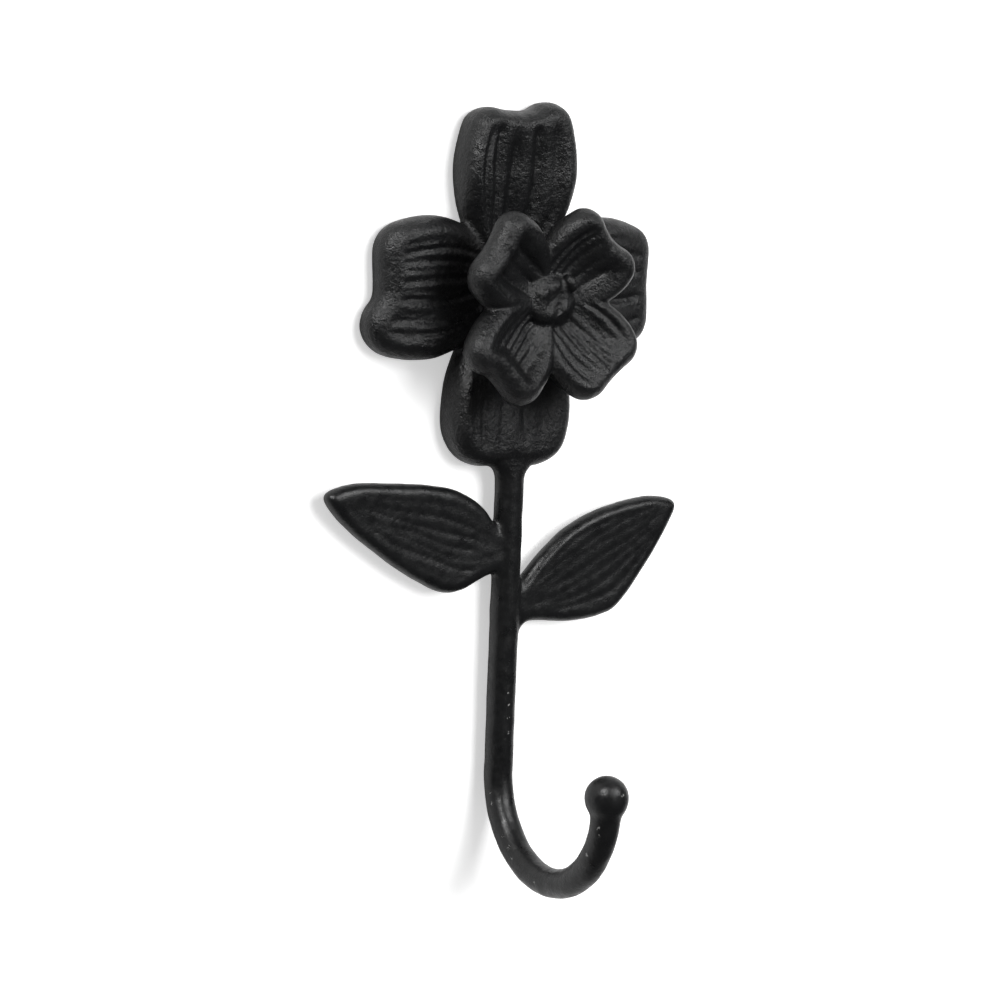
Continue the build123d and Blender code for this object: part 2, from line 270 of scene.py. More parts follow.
@dataclass(frozen=True)
class Blade:
    """A petal or leaf that points up before it is placed."""

    relief: Relief
    veins: tuple  # places of the grooves, as shares of the half width
    seed: int

    def outline(self) -> Array:
        """Returns the closed outline, shaped (points, 2)."""
        raise NotImplementedError

    def centre(self) -> Array:
        """Returns the point that the grid spreads from."""
        raise NotImplementedError

    def open_below(self) -> float:
        """Returns the height under which the dish has no rim."""
        raise NotImplementedError

    def grooves(self, across: Array, along: Array, loop: Array) -> Array:
        """Veins: grooves that keep their share of the blade's width, so that they bend with it.

        A groove's section is a V to a power that hollows its flanks. It sways in a sine along the blade, and
        fades in near the foot and out near the tip.

        Args:
            across: lateral coordinate of each point.
            along: coordinate along the blade.
            loop: the outline.

        Returns:
            The depth at each point.
        """
        depth = np.zeros_like(across)
        if not self.veins:
            return depth
        order = np.argsort(loop[:, 1])
        width = {}
        for side in Side:
            half = loop[order][loop[order][:, 0] * side.value > 0.0]
            width[side] = np.interp(along, half[:, 1], half[:, 0])
        draw = np.random.default_rng(self.seed)
        low, long = loop[:, 1].min(), np.ptp(loop[:, 1])
        for place in self.veins:
            side = Side.RIGHT if place > 0.0 else Side.LEFT
            sway = np.sin(along / draw.uniform(*VEINS.sway_run) + draw.uniform(*VEINS.sway_phase))
            middle = abs(place) * width[side] + VEINS.sway * sway
            end = low + long * draw.uniform(*VEINS.end)
            start = low + long * draw.uniform(*VEINS.start)
            fade = smoothstep(along, start, start + VEINS.fade_in)
            fade = fade * (1.0 - smoothstep(along, end - VEINS.fade_out, end))
            half = self.relief.vein_width * draw.uniform(*VEINS.width)
            groove = draw.uniform(*VEINS.depth) * fade * peak(across, middle, half) ** VEINS.power
            depth = np.maximum(depth, groove)
        return self.relief.vein_depth * depth

    def loop(self, places: int) -> Array:
        """The outline at even steps, drawn in a little by a sum of sine waves round it.

        Args:
            places: number of points.

        Returns:
            The points, shaped (places, 2).
        """
        loop = self.outline()
        run = np.concatenate([[0.0], np.cumsum(np.linalg.norm(np.roll(loop, -1, 0) - loop, axis=1))])
        even = np.linspace(0.0, run[-1], places, endpoint=False)
        closed = np.vstack([loop, loop[:1]])
        loop = np.stack([np.interp(even, run, closed[:, 0]), np.interp(even, run, closed[:, 1])], axis=-1)
        draw = np.random.default_rng(self.seed + RAGGED_SEED)
        count = len(RAGGED_WAVES)
        phase = draw.uniform(0.0, 2.0 * pi, count)
        height = draw.uniform(*RAGGED_HEIGHTS, count)
        uneven = (np.sin(round_angle(places)[:, None] * RAGGED_WAVES + phase) * height).sum(axis=1)
        drawn = 1.0 - self.relief.ragged * (1.0 + uneven / (0.5 * count))
        return self.centre() + (loop - self.centre()) * drawn[:, None]

    def shell(self, rings: int = 90, places: int = 400) -> Shell:
        """A polar grid over the front and back of the blade.

        Ring by ring the outline shrinks to the centre. The front height is a quarter edge from the outline
        to the crest, less a dish that eases from the crest down to a level floor, less the veins and the
        crease. Towards the tip the dish fills up and the crest droops. The back is a narrower quarter edge.
        All read the distance of a point from the outline.

        Args:
            rings: number of rings on each face.
            places: number of places round the outline.

        Returns:
            The closed shell, with its front towards -Y.
        """
        cut = self.relief
        loop = self.loop(places)
        share = np.sin(0.5 * pi * np.arange(1, rings + 1) / rings)
        flat = self.centre() + (loop - self.centre())[None] * share[:, None, None]
        across, along = flat[..., 0], flat[..., 1]
        gap = np.linalg.norm(flat[:, :, None] - loop[None, None], axis=-1)
        inset = gap.min(axis=2)
        rimmed = gap[:, :, loop[:, 1] > self.open_below()].min(axis=2)
        tip = along - loop[:, 1].max()
        crest = cut.thickness - cut.foot * (1.0 - smoothstep(along, cut.foot_start, cut.foot_end))
        crest = crest - cut.droop * smoothstep(tip, *DROOP_RUN)
        dish = cut.dish * smoothstep(rimmed, DISH_START * cut.rim, cut.rim + cut.slope)
        dish = dish * (1.0 - cut.tip_fill * smoothstep(tip, -FILL_SHARE * np.ptp(loop[:, 1]), -cut.rim))
        inside = smoothstep(rimmed, VEINS.rim[0] * cut.rim, VEINS.rim[1] * cut.rim)
        vein = self.grooves(across, along, loop) * inside
        crease = cut.crease * smoothstep(tip, *CREASE_RUN) * peak(across, 0.0, CREASE_HALF)
        flank = quarter(inset / cut.rim, cut.power)
        front = cut.edge + (crest - cut.edge - crease) * flank - dish - vein
        rear = cut.edge * (1.0 - quarter(inset / cut.back, ROUND))
        surface = np.stack([across, -front, along], axis=-1)
        under = np.stack([across, -rear, along], axis=-1)[-2::-1]
        grid = np.concatenate([surface, under])
        return closed_grid(grid, grid[0].mean(axis=0), grid[-1].mean(axis=0))


@dataclass(frozen=True)
class Petal(Blade):
    """A petal: a round foot, two long flanks, and a tip of two lobes with a notch between them."""

    length: float
    width: float
    start: float
    foot_radius: float
    lobe: float
    lobe_radius: float
    notch: float
    skew: float
    turn: float

    def half(self, side: Side) -> Array:
        """Arcs that run into each other from the foot to the notch: foot, flank, lobe and half the notch.

        Args:
            side: the side of the petal.

        Returns:
            The points of that side.
        """
        sign = side.value
        foot = np.array([0.0, self.start])
        out = (self.width - self.lobe) / 2 - self.lobe_radius
        narrow = self.width / 2 - self.foot_radius
        reach = self.length + sign * self.skew / 2
        notch = reach - self.length + self.notch
        lobe = np.array([sign * self.lobe / 2, reach - self.lobe_radius])
        notch_radius = (self.lobe**2 / 4 + notch**2) / (2 * notch) - self.lobe_radius
        valley = np.array([0.0, self.length - self.notch + notch_radius])
        rise = lobe[1] - self.start
        spread = rise**2 + out * (self.lobe_radius - self.foot_radius - self.lobe / 2)
        widest = rise * (1 - sqrt(1 - (1 - out / narrow) * spread / rise**2)) / (1 - out / narrow)
        flank_radius = (widest**2 / narrow + self.width / 2 + self.foot_radius) / 2
        flank = np.array([sign * (self.width / 2 - flank_radius), self.start + widest])
        heel = foot + (foot - flank) / np.linalg.norm(foot - flank) * self.foot_radius
        shoulder = lobe + (lobe - flank) / np.linalg.norm(lobe - flank) * self.lobe_radius
        lip = lobe + (valley - lobe) / np.linalg.norm(valley - lobe) * self.lobe_radius
        sole = np.array([0.0, self.start - self.foot_radius])
        end = np.array([0.0, self.length - self.notch])
        return np.vstack([
            arc(foot, sole, heel, FOOT_POINTS), arc(flank, heel, shoulder, FLANK_POINTS),
            arc(lobe, shoulder, lip, LOBE_POINTS), arc(valley, lip, end, NOTCH_POINTS), end[None],
        ])

    def outline(self) -> Array:
        """Returns both halves as one loop."""
        return np.vstack([self.half(Side.RIGHT), self.half(Side.LEFT)[-2:0:-1]])

    def centre(self) -> Array:
        """Returns the middle of the petal."""
        return np.array([0.0, PETAL_MIDDLE * self.length])

    def open_below(self) -> float:
        """Returns the top of the round foot."""
        return self.start


@dataclass(frozen=True)
class Leaf(Blade):
    """A leaf: one smooth curve out along its right side, round its tip and back along its left side."""

    right: tuple  # reach and distance from the stem's axis of points on the right side
    tip: tuple
    left: tuple  # the same for the left side, from the stem outwards
    height: float
    lean: float

    def outline(self) -> Array:
        """Returns the curve, which the foot closes."""
        left = np.array(self.left)[::-1] * [Side.LEFT.value, 1]
        return curve(np.vstack([self.right, [self.tip], left]), LEAF_POINTS)

    def centre(self) -> Array:
        """Returns the middle of the leaf."""
        return np.array([0.0, LEAF_MIDDLE * self.tip[1]])

    def open_below(self) -> float:
        """Returns a height just above the foot."""
        return LEAF_OPEN


@dataclass(frozen=True)
class Web(Blade):
    """The hollow corner that joins the underside of a leaf to the stem, drawn where it stands."""

    hollow: tuple  # middle of the hollow's circle, across and up
    radius: float
    reach: float  # how far the web reaches into the stem and the leaf

    def outline(self) -> Array:
        """The quarter circle of the hollow, and straight legs round the corner behind it.

        Returns:
            The closed outline, shaped (points, 2).
        """
        middle = np.array(self.hollow)
        down = middle + [-self.radius, 0.0]
        level = middle + [0.0, self.radius]
        inner = middle + [-self.radius - self.reach, self.radius + self.reach]
        below = np.array([inner[0], down[1]])
        beside = np.array([level[0], inner[1]])
        corners = (level, beside, inner, below, down)
        legs = [np.linspace(*ends, LEG_POINTS, endpoint=False) for ends in zip(corners, corners[1:])]
        return np.vstack([arc(middle, down, level, HOLLOW_POINTS), *legs])

    def centre(self) -> Array:
        """Returns a point in the corner that sees the whole outline."""
        inward = self.radius + WEB_MIDDLE * self.reach
        return np.array(self.hollow) + [-inward, inward]

    def open_below(self) -> float:
        """Returns a height under the web."""
        return self.hollow[1] - self.radius


LARGE_RELIEF = Relief(
    thickness=10.0, edge=3.6, rim=4.2, power=2.0, back=1.2, dish=2.0, slope=8.0,
    foot=3.6, foot_start=8.0, foot_end=26.0, vein_depth=1.8, vein_width=2.2, tip_fill=0.6, crease=0.5,
    ragged=0.007,
)
SIDE_RELIEF = replace(LARGE_RELIEF, rim=4.8, droop=2.0, dish=0.7, vein_depth=1.4, vein_width=1.35, crease=0.3)
LOW_RELIEF = replace(LARGE_RELIEF, dish=0.8, tip_fill=1.0, vein_depth=0.9, vein_width=1.6, crease=0.0)
SMALL_RELIEF = Relief(
    thickness=7.4, edge=2.8, rim=2.8, power=2.1, back=2.2, dish=2.2, slope=6.5,
    foot=1.4, foot_start=4.0, foot_end=15.0, vein_depth=1.0, vein_width=0.95, tip_fill=0.5, crease=0.3,
    ragged=0.008,
)
CUPPED_RELIEF = replace(SMALL_RELIEF, rim=4.2, dish=3.0, slope=4.8, tip_fill=0.0)
LEAF_RELIEF = Relief(
    thickness=5.2, edge=2.4, rim=2.6, power=2.0, back=1.8, dish=0.15, slope=7.0,
    foot=0.0, foot_start=0.0, foot_end=1.0, vein_depth=0.34, vein_width=1.1, tip_fill=0.5, ragged=0.003,
)
WEB_RELIEF = replace(LEAF_RELIEF, thickness=4.8, rim=1.8, back=1.6, dish=0.0, vein_depth=0.0, ragged=0.0)


def large_petals() -> list[Petal]:
    """The four petals of the large flower.

    Returns:
        The petals, from the top one clockwise.
    """
    top = Petal(
        LARGE_RELIEF, (-0.71, -0.5, -0.2, 0.2, 0.56), 11, length=42.8, width=32.6, start=6.0,
        foot_radius=6.0, lobe=16.4, lobe_radius=6.4, notch=1.6, skew=1.6, turn=0.0,
    )
    wide = replace(top, width=33.0, foot_radius=6.27, lobe=16.5, lobe_radius=6.6, skew=0.0)
    return [
        top,
        replace(wide, relief=SIDE_RELIEF, seed=12, turn=90.0, length=39.4, notch=0.3),
        replace(
            wide, relief=LOW_RELIEF, seed=13, turn=181.4, length=44.0, width=34.4, foot_radius=4.6, lobe=13.0,
            lobe_radius=10.4, notch=0.4, veins=(0.72, 0.56, 0.24, -0.14, -0.42),
        ),
        replace(
            top, relief=SIDE_RELIEF, seed=14, turn=267.6, length=39.3, width=34.4, foot_radius=5.0, lobe=17.0,
            lobe_radius=7.6, notch=1.85, skew=-3.6,
            veins=(0.8, 0.67, 0.55, 0.39, 0.27, 0.12, -0.03, -0.15, -0.33, -0.44, -0.61, -0.73),
        ),
    ]


def small_petals() -> list[Petal]:
    """The four petals of the small flower.

    Returns:
        The petals, from the upper right one clockwise.
    """
    first = Petal(
        SMALL_RELIEF, (-0.58, -0.4, -0.2, 0.1, 0.34), 21, length=24.2, width=24.0, start=4.4,
        foot_radius=4.56, lobe=12.6, lobe_radius=5.2, notch=1.2, skew=0.0, turn=44.5,
    )
    full = (-0.62, -0.45, -0.3, -0.14, 0.02, 0.18, 0.36, 0.56)
    return [
        first,
        replace(first, seed=22, turn=138.0, length=26.8, lobe=11.0, lobe_radius=6.0, notch=0.4, veins=full),
        replace(
            first, relief=CUPPED_RELIEF, seed=23, turn=224.0, length=29.0, width=24.4, lobe=12.6,
            lobe_radius=5.6, notch=1.1, skew=1.8, veins=full[1:],
        ),
        replace(
            first, relief=CUPPED_RELIEF, seed=24, turn=303.5, length=26.3, width=23.6, lobe=12.0,
            lobe_radius=5.6, notch=0.8, veins=full[::2],
        ),
    ]


def leaves() -> list[Leaf]:
    """The leaves on the stem.

    Returns:
        The left leaf and the right leaf.
    """
    left = Leaf(
        LEAF_RELIEF, (-0.7, -0.5, -0.3, -0.12, 0.1, 0.34, 0.6), 31,
        right=((4.0, 0.0), (6.6, 6.0), (9.6, 10.5), (11.6, 18.0), (10.9, 27.0), (8.6, 38.0), (6.2, 47.0)),
        tip=(1.6, 53.3),
        left=((4.0, 0.0), (7.0, 5.0), (11.2, 10.0), (13.1, 15.5), (11.6, 25.0), (8.2, 36.0), (3.6, 47.0)),
        height=-65.0, lean=-74.5,
    )
    right = replace(
        left, seed=32, veins=(-0.66, -0.4, -0.16, 0.1, 0.28, 0.46, 0.64),
        right=((4.0, 0.0), (7.2, 6.5), (11.8, 14.0), (15.3, 23.0), (15.4, 29.5), (12.0, 37.5), (6.4, 48.0)),
        tip=(0.9, 54.9),
        left=((4.0, 0.0), (4.4, 6.0), (7.2, 14.0), (9.4, 24.0), (8.9, 34.0), (6.8, 42.5), (4.0, 50.0)),
        height=-78.3, lean=63.0,
    )
    return [left, right]


def web() -> Web:
    """Returns the hollow corner under the right leaf."""
    return Web(WEB_RELIEF, (), 41, hollow=(7.3, -85.3), radius=3.7, reach=2.6)


# Places where the paint is rubbed, each with its reach last
STEM_RUBS = (  # across and height, on the front of the stem
    (-0.9, -93.0, 0.9), (-0.4, -98.3, 1.0), (0.0, -101.3, 1.2), (0.1, -104.5, 1.2), (0.4, -108.0, 1.0),
)
HOOK_RUBS = (  # degrees along the hook and distance outwards from its line, on its left flank
    (14.5, -0.9, 1.4), (21.5, -1.4, 1.3), (45.0, -1.9, 1.5), (54.0, -1.8, 1.4), (61.5, -1.0, 1.1),
    (89.0, 0.0, 1.4), (101.0, 1.6, 1.1), (151.0, 0.8, 1.2), (165.5, 2.3, 1.3), (169.5, 1.9, 1.4),
)
BALL_RUB = (1.1, -4.8, 1.4, 1.3)  # from the ball's middle
LEAF_RUBS = ((-21.7, -70.6, 1.4), (-20.0, -71.9, 1.5), (-18.0, -72.9, 1.2))  # across and height
LEAF_RUB_DEPTH = 5.4


@dataclass(frozen=True)
class SandSkin:
    """The skin of the raw casting, in millimetres."""

    passes: int = 5  # of evening out after the melt
    step: float = 0.5  # share of the way to the neighbours' mean in each pass
    edge_passes: int = 2  # of averaging the bend that marks sharp edges
    depth: float = 0.24  # of the sand-cast hollows
    waves: int = 40
    lengths: tuple = (2.0, 9.0)  # limits of the waves' length
    seed: int = 7
    near_wall: tuple = (0.2, 1.2)  # distances from the wall between which the hollows set in
    petals: tuple = (-48.0, -42.0)  # heights between which stem and leaves give way to petals
    facing: tuple = (0.45, 0.85)  # forward part of the normal, from the petals' sides to their faces
    plain_grain: float = 0.3  # sand grain on stem and leaves, where it is 1 on the petals' faces
    side_grain: float = 0.9  # sand grain on the petals' sides
    rub: tuple = (0.2, 1.0)  # shares of a rub's reach, from rubbed through to untouched


class Vectors(Enum):
    """The vectors that a mesh keeps for its points, by their names in the mesh."""

    PLACE = "co"
    NORMAL = "normal"


@dataclass
class Casting:
    """One skin of the casting: closed shells that are melted together and roughened."""

    name: str
    voxel: float  # of the melt, in millimetres
    skin: SandSkin = SandSkin()
    shells: list = field(default_factory=list)

    def melt(self) -> Object:
        """Joins the shells and remeshes them into one closed skin.

        Returns:
            The object, in metres, at the origin.
        """
        offset = np.cumsum([0] + [len(shell.points) for shell in self.shells[:-1]])
        points = np.vstack([shell.points for shell in self.shells])
        quads = np.vstack([shell.quads + start for shell, start in zip(self.shells, offset)])
        fans = np.vstack([shell.fans + start for shell, start in zip(self.shells, offset)])
        rough = Shell(points, quads, fans).raised(self.name + "_raw")
        melt = rough.modifiers.new("melt", "REMESH")
        melt.mode = "VOXEL"
        melt.voxel_size = self.voxel * MM
        baked = self.baked(rough)
        discard(rough)
        baked.name = self.name
        return shown(self.name, baked)

    @staticmethod
    def baked(piece: Object) -> Mesh:
        """Returns a new mesh with the piece's modifiers applied."""
        graph = bpy.context.evaluated_depsgraph_get()
        return bpy.data.meshes.new_from_object(piece.evaluated_get(graph))

    @staticmethod
    def read(mesh: Mesh, which: Vectors) -> Array:
        """Reads one vector of each point of a mesh.

        Args:
            mesh: the mesh.
            which: the vector to read.

        Returns:
            The vectors, shaped (points, 3).
        """
        flat = np.empty(len(mesh.vertices) * 3)
        mesh.vertices.foreach_get(which.value, flat)
        return flat.reshape(-1, 3)

    @staticmethod
    def neighbours_mean(mesh: Mesh, values: Array) -> Array:
        """Averages values over the points joined to each point by an edge.

        Args:
            mesh: the mesh with the edges.
            values: one row for each point.

        Returns:
            The averages, one row for each point.
        """
        ends = np.empty(len(mesh.edges) * 2, dtype=np.int32)
        mesh.edges.foreach_get("vertices", ends)
        ends = ends.reshape(-1, 2)
        both = np.concatenate([ends[:, 0], ends[:, 1]])
        other = np.concatenate([ends[:, 1], ends[:, 0]])
        count = np.maximum(np.bincount(both, minlength=len(values)), 1)
        columns = [np.bincount(both, values[other, k], len(values)) for k in range(values.shape[1])]
        return np.stack(columns, axis=-1) / count[:, None]

    def hollows(self, points: Array) -> Array:
        """Depth of the sand-cast hollows: a sum of sine waves of random direction and length.

        Args:
            points: in metres.

        Returns:
            The depth at each point in metres, which is never less than 0 and is 0 on the flat back.
        """
        skin = self.skin
        draw = np.random.default_rng(skin.seed)
        direction = draw.normal(size=(3, skin.waves))
        direction /= np.linalg.norm(direction, axis=0)
        length = draw.uniform(*skin.lengths, skin.waves) * MM
        phase = draw.uniform(0.0, 2.0 * pi, skin.waves)
        wave = np.sin(2.0 * pi * (points @ (direction / length)) + phase) @ (length / length.sum())
        wave = wave / np.abs(wave).max()
        level = smoothstep(-points[:, 1], skin.near_wall[0] * MM, skin.near_wall[1] * MM)
        return skin.depth * MM * level * 0.5 * (1.0 + wave)

    def roughen(self, piece: Object) -> None:
        """Evens the melt, presses the hollows into it, and notes what the paint needs to know.

        The hollows only go inwards, so that the skin stays within the part's box. The notes are the bend of
        sharp edges, the wear of the paint and the strength of the sand grain.

        Args:
            piece: the melted skin.
        """
        mesh, skin = piece.data, self.skin
        points = self.read(mesh, Vectors.PLACE)
        for _ in range(skin.passes):
            points = points + skin.step * (self.neighbours_mean(mesh, points) - points)
        mesh.vertices.foreach_set("co", points.ravel())
        mesh.update()
        normal = self.read(mesh, Vectors.NORMAL)
        bend = np.einsum("ij,ij->i", points - self.neighbours_mean(mesh, points), normal)[:, None]
        for _ in range(skin.edge_passes):
            bend = self.neighbours_mean(mesh, bend)
        points = points - normal * self.hollows(points)[:, None]
        points[:, 1] = np.minimum(points[:, 1], 0.0)
        mesh.vertices.foreach_set("co", points.ravel())
        mesh.polygons.foreach_set("use_smooth", np.ones(len(mesh.polygons), dtype=bool))
        petals = smoothstep(points[:, 2] / MM, *skin.petals)
        faced = skin.side_grain + (1.0 - skin.side_grain) * smoothstep(-normal[:, 1], *skin.facing)
        self.note(mesh, "edge", bend[:, 0] / (self.voxel * MM))
        self.note(mesh, "wear", self.worn(points / MM))
        self.note(mesh, "grain", skin.plain_grain + (faced - skin.plain_grain) * petals)
        mesh.update()

    @staticmethod
    def note(mesh: Mesh, name: str, values: Array) -> None:
        """Keeps one value for each point as a named attribute of the mesh."""
        attribute = mesh.attributes.new(name, "FLOAT", "POINT")
        attribute.data.foreach_set("value", values.astype(np.float32))

    def worn(self, points: Array) -> Array:
        """How far the paint is rubbed at each point: 1 in the middle of a rub, easing to 0 at its reach.

        Args:
            points: in millimetres.

        Returns:
            The wear, from 0 to 1.
        """
        rubs = rubbed()
        gap = np.linalg.norm(points[:, None] - rubs[None, :, :3], axis=-1) / rubs[:, 3]
        return (1.0 - smoothstep(gap, *self.skin.rub)).max(axis=1)

    def dress(self, piece: Object, paint: "IronPaint") -> None:
        """Gives the piece its paint and its body, and hides the CAD part that it stands for.

        Args:
            piece: the finished skin.
            paint: the finish.
        """
        piece.data.materials.clear()
        piece.data.materials.append(paint.material())
        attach(piece, "root")
        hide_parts(NODE)


@dataclass
class Rod:
    """Stem, hook and ball as one tube whose radius changes along its path."""

    radius: float = 3.65
    top_depth: float = 5.6
    low_depth: float = 4.6
    top: float = -38.0
    bend: float = -117.3  # height where the hook starts
    hook_radius: float = 23.0
    sweep: float = 185.0
    ball_radius: float = 5.3
    flare_start: float = -48.0
    flare_end: float = -41.0
    flare_width: float = 4.0  # added to the half width at the petal
    neck: float = 0.9  # difference of radius over which the swelling of the neck dies away
    neck_swell: float = 0.35  # share of that difference by which the neck swells
    neck_end: float = 2.0  # distance from the ball's middle where the neck ends

    def depth(self, height: float) -> float:
        """Returns the distance from the wall to the stem's axis at a height."""
        share = (height - self.top) / (self.bend - self.top)
        return self.top_depth + (self.low_depth - self.top_depth) * share

    def line(self) -> tuple[Array, Array, Array, Array]:
        """The line of the stem, as depth and height.

        Returns:
            Its top, its low end, its direction downwards and the direction to the hook's middle.
        """
        top = np.array([-self.top_depth, self.top])
        low = np.array([-self.low_depth, self.bend])
        ahead = (low - top) / np.linalg.norm(low - top)
        return top, low, ahead, np.array([ahead[1], -ahead[0]])

    def rubs(self) -> Array:
        """Where the paint is rubbed: points on the surface of the stem, the hook and the ball.

        Returns:
            Across, depth, height and reach of each, shaped (rubs, 4).
        """
        _, low, ahead, side = self.line()
        rows = []
        for across, height, reach in STEM_RUBS:
            rows.append((across, -self.depth(height) - sqrt(self.radius**2 - across**2), height, reach))
        middle = low + self.hook_radius * side
        for degrees, out, reach in HOOK_RUBS:
            outward = sin(radians(degrees)) * ahead - cos(radians(degrees)) * side
            rows.append((-sqrt(self.radius**2 - out**2), *(middle + (self.hook_radius + out) * outward), reach))
        end = sin(radians(self.sweep)) * ahead - cos(radians(self.sweep)) * side
        ball = middle + self.hook_radius * end
        across, depth, up, reach = BALL_RUB
        return np.array([*rows, (across, ball[0] + depth, ball[1] + up, reach)])

    def shell(self, rings: int = 420, ball_rings: int = 60, places: int = 64) -> Shell:
        """A circle carried along the stem's line and the hook's arc, swollen to a ball at the end.

        The radius is the rod's, or the ball's chord where that is larger, swollen a little at the neck. Near
        the lowest petal the circle widens sideways into an ellipse.

        Args:
            rings: number of sections along the path.
            ball_rings: number of sections of the ball.
            places: number of points round a section.

        Returns:
            The closed shell.
        """
        top, low, ahead, side = self.line()
        straight = np.linalg.norm(low - top)
        turn = radians(self.sweep)
        end = straight + self.hook_radius * turn
        run = np.concatenate([
            np.linspace(0.0, end - self.ball_radius, rings, endpoint=False),
            end - self.ball_radius * np.cos(np.linspace(0.0, pi, ball_rings))[:-1],
        ])
        angle = np.clip((run - straight) / self.hook_radius, 0.0, turn)
        beyond = np.clip(run - end, 0.0, None)[:, None]
        bent = self.hook_radius * (np.sin(angle)[:, None] * ahead + (1.0 - np.cos(angle))[:, None] * side)
        axis = top + np.minimum(run, straight)[:, None] * ahead + bent
        heading = np.cos(angle)[:, None] * ahead + np.sin(angle)[:, None] * side
        axis = axis + beyond * heading
        aside = np.stack([-heading[:, 1], heading[:, 0]], axis=-1)
        chord = np.sqrt(np.clip(self.ball_radius**2 - (run - end) ** 2, 0.0, None))
        rod = np.where(run < end, self.radius, 0.0)
        meeting = self.neck * np.exp(-np.abs(rod - chord) / self.neck) * (run < end - self.neck_end)
        radius = np.maximum(rod, chord) + meeting * self.neck_swell
        flare = self.flare_width * smoothstep(axis[:, 1], self.flare_start, self.flare_end) ** 2
        angle = round_angle(places)
        sideways = (radius + flare)[:, None] * np.cos(angle)
        upward = radius[:, None] * np.sin(angle)
        grid = np.stack([
            sideways,
            axis[:, :1] + upward * aside[:, :1],
            axis[:, 1:] + upward * aside[:, 1:],
        ], axis=-1)
        last = axis[-1] + heading[-1] * (end + self.ball_radius - run[-1])
        return closed_grid(grid, np.array([0.0, *axis[0]]), np.array([0.0, *last]))


def rubbed() -> Array:
    """Returns across, depth, height and reach of all places where the paint is rubbed."""
    leaf = [(across, -LEAF_RUB_DEPTH, height, reach) for across, height, reach in LEAF_RUBS]
    return np.vstack([Rod().rubs(), leaf])


@dataclass
class Spindle:
    """Post between the flowers, with the button and the bud at the small flower's centre."""

    across: float = 0.8
    height: float = -3.2
    depths: tuple = (4.0, 5.0, 7.0, 10.0, 13.0, 15.5, 18.0, 19.6, 20.8, 21.5, 21.9, 22.0, 21.9, 21.8)
    radii: tuple = (9.0, 9.0, 6.8, 4.9, 5.4, 7.0, 7.2, 6.6, 5.6, 4.6, 3.6, 2.4, 1.4, 0.5)
    lumps: tuple = (  # across, up, height and reach of each lump or dent of the button
        (-3.6, 1.8, 0.6, 1.7), (-1.4, -3.8, 0.6, 1.9), (3.2, -2.0, 0.5, 1.7), (0.2, 3.4, 0.5, 1.6),
        (-0.9, 1.3, -0.5, 1.4), (1.7, 1.0, -0.4, 1.2), (-2.3, -1.2, -0.5, 1.2), (0.9, -1.7, -0.3, 1.3),
    )
    button: tuple = (19.0, 21.5)  # depths between which the post turns into the button
    ripples: tuple = ((0.05, 3.0, 0.8), (0.04, 5.0, 0.0))  # share, number and phase of waves round the button
    pits: float = 0.09  # height of the finer unevenness
    pit_waves: int = 10
    pit_lengths: tuple = (1.4, 3.2)  # limits of a random draw
    pit_seed: int = 5
    bud_radius: float = 1.6
    bud_stretch: tuple = (1.5, 1.0, 1.3)  # along the bud, across it and outwards
    bud_at: tuple = (4.9, -21.4, 1.0)
    bud_turn: float = 118.0  # degrees from level

    def post(self, places: int = 120, steps: int = 160) -> Shell:
        """A profile turned about the post's axis, whose front is raised and dented by bell-shaped lumps.

        The button's rim is uneven by waves round it, and its front by fine sine waves of random direction.

        Args:
            places: number of points round a ring.
            steps: number of rings.

        Returns:
            The closed shell.
        """
        index = np.linspace(0.0, len(self.depths) - 1.0, steps)
        deep = np.interp(index, np.arange(len(self.depths)), self.depths)[:, None]
        wide = np.interp(index, np.arange(len(self.radii)), self.radii)[:, None]
        angle = round_angle(places)
        front = smoothstep(deep, *self.button)
        ripple = sum(share * np.cos(number * angle + phase) for share, number, phase in self.ripples)
        reach = wide * (1.0 + front * ripple)
        across, up = reach * np.cos(angle), reach * np.sin(angle)
        forward = deep * np.ones(places)
        for at, level, rise, spread in self.lumps:
            forward = forward + front * rise * np.exp(-((across - at) ** 2 + (up - level) ** 2) / spread**2)
        draw = np.random.default_rng(self.pit_seed)
        short, long = self.pit_lengths
        waves = draw.uniform((0.0, short, 0.0), (pi, long, 2.0 * pi), (self.pit_waves, 3))
        for heading, length, phase in waves:
            run = across * cos(heading) + up * sin(heading)
            forward = forward + front * self.pits * 0.5 * np.sin(2.0 * pi * run / length + phase)
        grid = np.stack([across + self.across, -forward, up + self.height], axis=-1)
        return closed_grid(grid, grid[0].mean(axis=0), grid[-1].mean(axis=0))

    def bud(self, rings: int = 24, places: int = 40) -> Shell:
        """An oval drop: a sphere drawn out along its own length.

        Args:
            rings: number of rings.
            places: number of points round a ring.

        Returns:
            The closed shell.
        """
        polar = np.linspace(0.0, pi, rings + 2)[:, None]
        angle = round_angle(places)
        long, aside, out = self.bud_radius * np.array(self.bud_stretch)
        along = long * np.cos(polar) * np.ones(places)
        beside = aside * np.sin(polar) * np.cos(angle)
        outward = out * np.sin(polar) * np.sin(angle)
        turn = radians(self.bud_turn)
        grid = np.stack([
            along * cos(turn) - beside * sin(turn), -outward, along * sin(turn) + beside * cos(turn),
        ], axis=-1) + np.array(self.bud_at)
        return closed_grid(grid[1:-1], grid[0, 0], grid[-1, 0])


